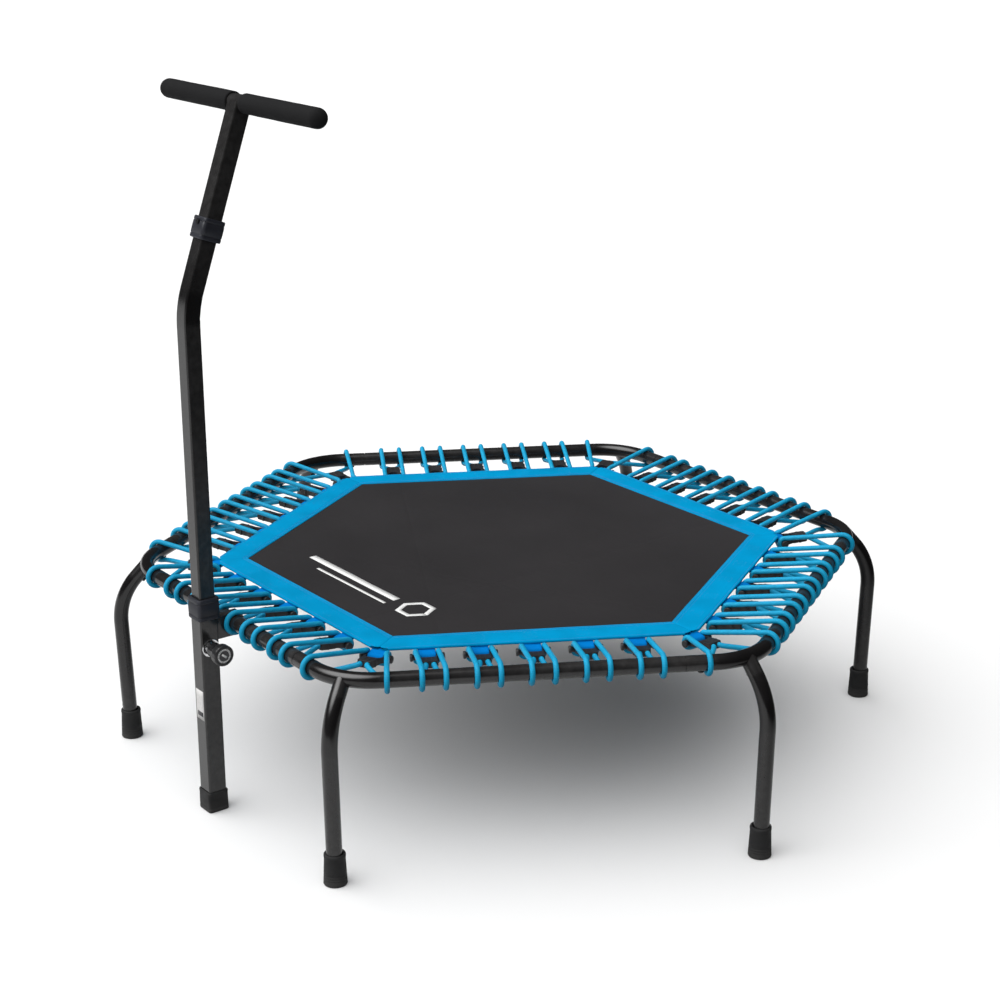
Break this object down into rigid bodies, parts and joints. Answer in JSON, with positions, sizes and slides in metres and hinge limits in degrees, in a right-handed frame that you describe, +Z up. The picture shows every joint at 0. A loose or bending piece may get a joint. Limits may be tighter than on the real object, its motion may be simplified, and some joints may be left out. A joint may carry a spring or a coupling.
{
  "type": "mini trampoline",
  "caption": "Low hexagonal rebounder: fabric bed hung by bungee cords in a tubular steel frame on bent legs, with a telescopic mast and a padded T-bar to hold.",
  "frame": {"origin": "on the floor at the middle of the bounding box; the centre of the hexagon is 11.861 mm further along +Y, because the post and its collar stand out on the -Y side", "axes": "+Z up; -Y towards the hand support, which stands on the middle of the -Y side; +X through a frame corner and its leg, which is also the side the pull knob faces"},
  "size_m": [1.3732, 1.2178, 1.1625],
  "materials": {
    "frame_paint": "gloss black powder coat",
    "leg_paint": "gloss black powder coat",
    "post_paint": "gloss black powder coat",
    "mast_paint": "gloss black powder coat",
    "plain_steel": "bare zinc-plated steel",
    "plated_steel": "bright plating",
    "black_screws": "black oxide",
    "foot_rubber": "matt moulded rubber",
    "bed_weave": "tightly woven matt polypropylene",
    "border_webbing": "woven polyester binding, light sheen",
    "tab_webbing": "woven polyester webbing",
    "hook_plastic": "moulded nylon",
    "cord_braid": "braided sheath over a rubber core",
    "collar_plastic": "moulded nylon",
    "guide_plastic": "moulded polyethylene",
    "grip_foam": "soft foam",
    "knob_plastic": "moulded nylon, satin",
    "disc_plastic": "plain printed disc"
  },
  "bodies": {
    "frame": {"frame_tube_1": "frame_paint", "frame_tube_2": "frame_paint", "frame_tube_3": "frame_paint", "frame_tube_4": "frame_paint", "frame_tube_5": "frame_paint", "frame_tube_6": "frame_paint", "joint_spigots": "plain_steel", "joint_screws": "black_screws", "leg_1": "leg_paint", "leg_2": "leg_paint", "leg_3": "leg_paint", "leg_4": "leg_paint", "leg_5": "leg_paint", "leg_6": "leg_paint", "leg_spigots": "plain_steel", "leg_screws": "black_screws", "foot_1": "foot_rubber", "foot_2": "foot_rubber", "foot_3": "foot_rubber", "foot_4": "foot_rubber", "foot_5": "foot_rubber", "foot_6": "foot_rubber", "side_cords": "cord_braid", "corner_cords": "cord_braid", "post_tube": "post_paint", "post_foot": "foot_rubber", "post_bracket": "post_paint", "rail_saddle": "post_paint", "bracket_bolts": "black_screws", "lower_collar": "collar_plastic", "pin_washer": "plated_steel", "pin_housing": "plated_steel", "pin_spring": "plain_steel"},
    "mat": {"jump_mat": "bed_weave", "mat_border": "border_webbing", "mat_tabs": "tab_webbing", "side_hooks": "hook_plastic", "corner_hooks": "hook_plastic"},
    "mast": {"mast_tube": "mast_paint", "mast_guide": "guide_plastic", "mast_spigot": "plain_steel", "upper_collar": "collar_plastic", "mast_screw": "black_screws", "handle_tube": "mast_paint", "crossbar": "mast_paint", "bar_plugs": "guide_plastic", "grip_left": "grip_foam", "grip_right": "grip_foam"},
    "pin": {"pull_pin": "plain_steel", "pull_knob": "knob_plastic", "knob_disc": "disc_plastic"}
  },
  "joints": [
    {"name": "mat_bounce", "type": "slide", "parent": "frame", "child": "mat", "axis": [0, 0, 1], "range_m": [-0.06, 0], "stiffness_N_per_m": 9000, "deforming": ["side_cords", "corner_cords"]},
    {"name": "mast_height", "type": "slide", "parent": "frame", "child": "mast", "axis": [0, 0, 1], "range_m": [0, 0.2]},
    {"name": "pin_pull", "type": "slide", "parent": "frame", "child": "pin", "axis": [1, 0, 0], "range_m": [-0.005, 0.006], "stiffness_N_per_m": 600, "springref_m": -0.005, "deforming": ["pin_spring"]}
  ]
}
